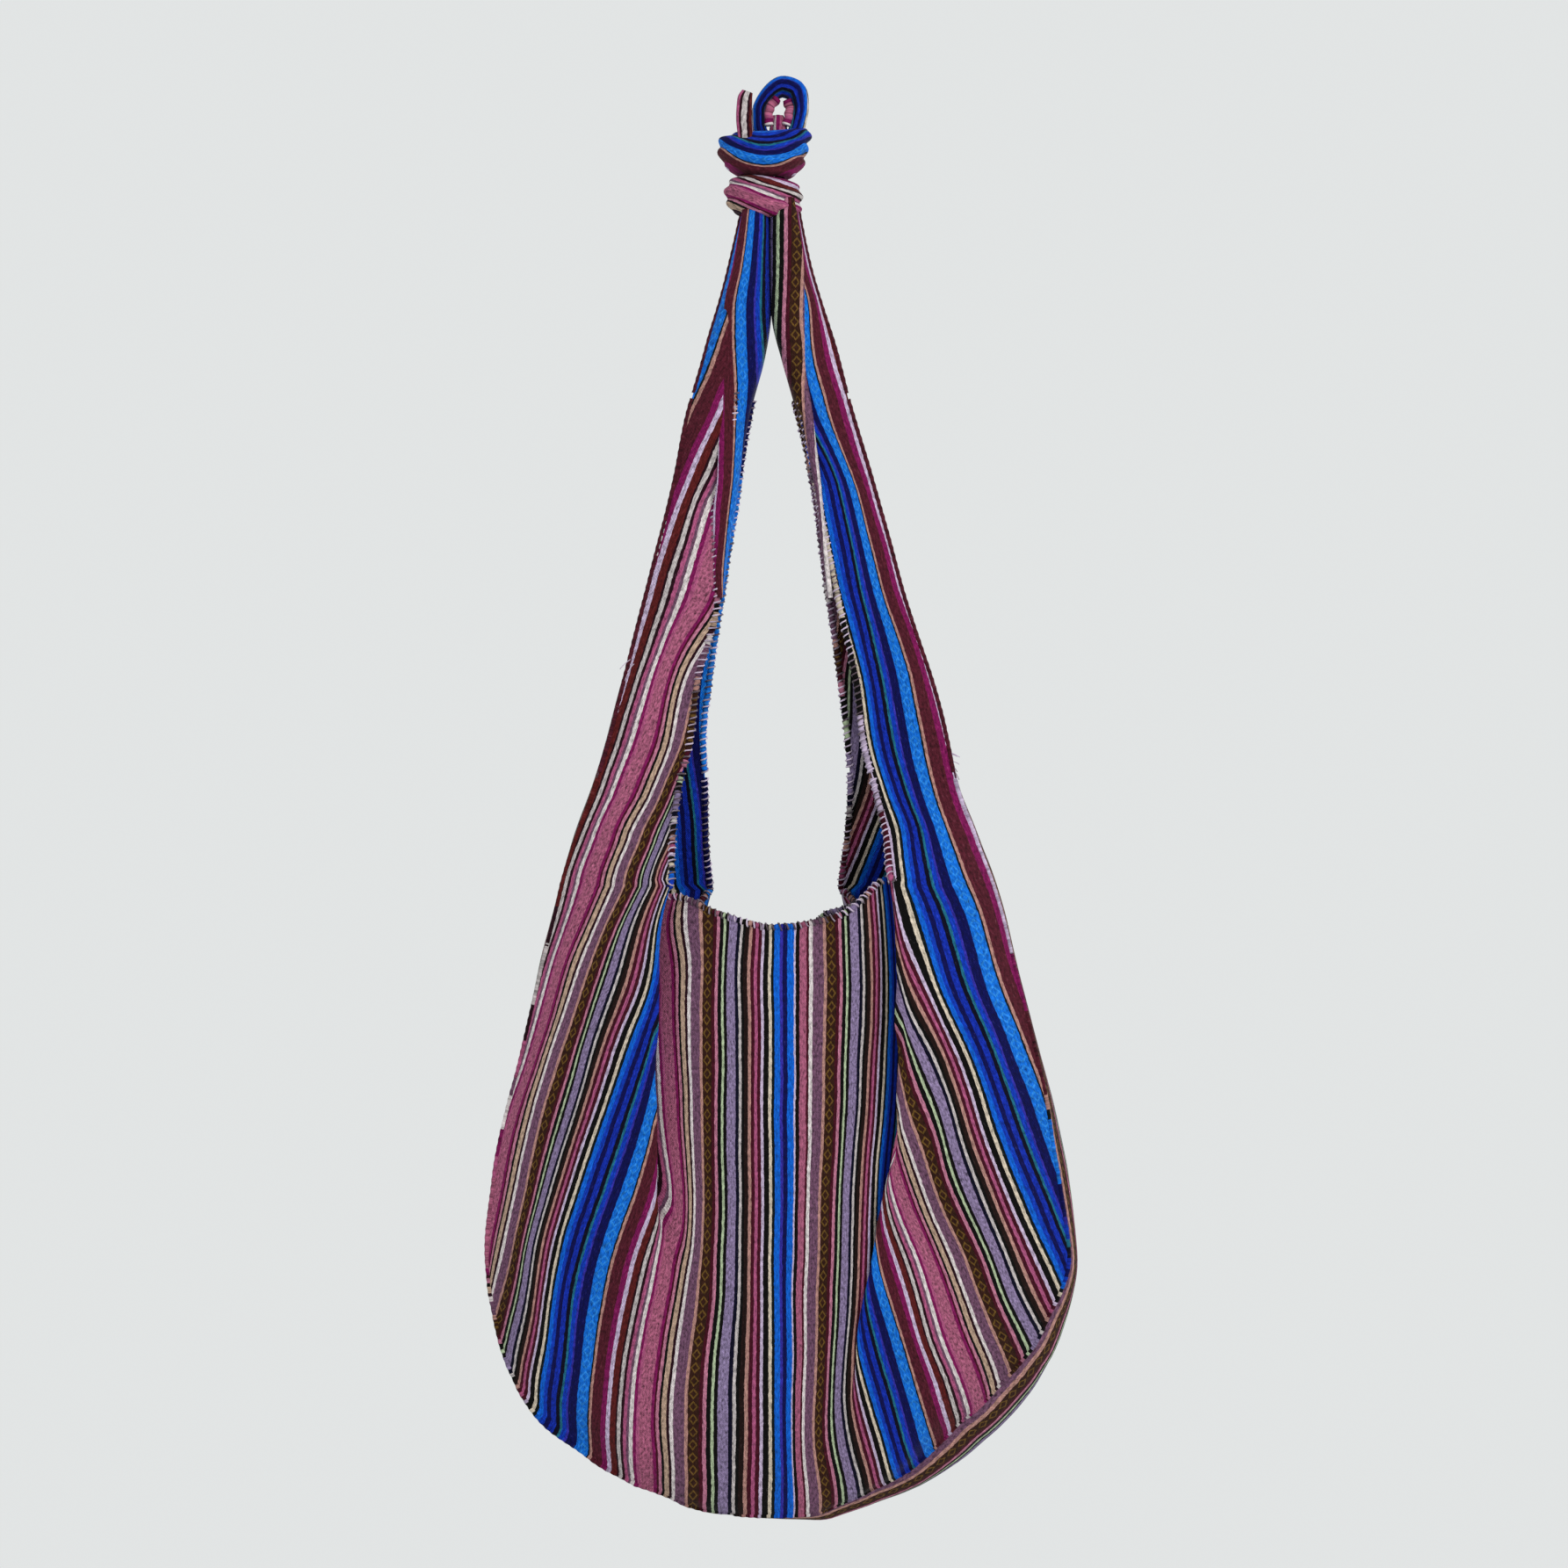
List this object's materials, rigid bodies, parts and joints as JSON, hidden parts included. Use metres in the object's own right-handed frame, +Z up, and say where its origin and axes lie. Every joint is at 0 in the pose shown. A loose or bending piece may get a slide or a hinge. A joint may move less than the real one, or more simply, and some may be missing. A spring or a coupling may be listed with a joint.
{
  "type": "crossbody sling bag",
  "caption": "Slouchy striped cotton sling bag with a wide U-shaped mouth, hung by its knotted double strap from a small loop.",
  "frame": {"origin": "where the top of the hanging loop's eye rests on its hook", "axes": "+Z up, the front of the bag faces -Y, the back panel lies flat facing +Y, +X to the right as seen from the front"},
  "size_m": [0.2989, 0.0801, 0.7418],
  "materials": {
    "panel_cloth": "plain-woven warp-striped cotton",
    "strap_cloth": "plain-woven warp-striped cotton, gathered",
    "seam_cloth": "turned cloth edge in a seam",
    "edging_thread": "overlock stitching in light and dark thread"
  },
  "bodies": {
    "loop": {"hanging_loop": "strap_cloth"},
    "knot": {"knot_core": "strap_cloth", "knot_upper_wrap": "strap_cloth", "knot_lower_wrap": "strap_cloth", "strap_end": "strap_cloth"},
    "strap": {"strap_left_front": "strap_cloth", "strap_left_back": "strap_cloth", "strap_left_seam": "seam_cloth", "strap_left_edging": "edging_thread", "strap_right_front": "strap_cloth", "strap_right_back": "strap_cloth", "strap_right_seam": "seam_cloth", "strap_right_edging": "edging_thread"},
    "bag": {"front_panel": "panel_cloth", "back_panel": "panel_cloth", "gusset": "panel_cloth", "front_seam": "seam_cloth", "back_seam": "seam_cloth", "front_mouth_edging": "edging_thread", "back_mouth_edging": "edging_thread"}
  },
  "joints": [
    {"name": "knot_tilt", "type": "hinge", "parent": "loop", "child": "knot", "pos_m": [0, 0, -0.016], "axis": [0, 1, 0], "range_deg": [-20, 20]},
    {"name": "neck_bend", "type": "hinge", "parent": "knot", "child": "strap", "pos_m": [0, 0, -0.07], "axis": [1, 0, 0], "range_deg": [-60, 60]},
    {"name": "strap_fold", "type": "hinge", "parent": "strap", "child": "bag", "pos_m": [0, 0, -0.339], "axis": [1, 0, 0], "range_deg": [-90, 90]}
  ]
}
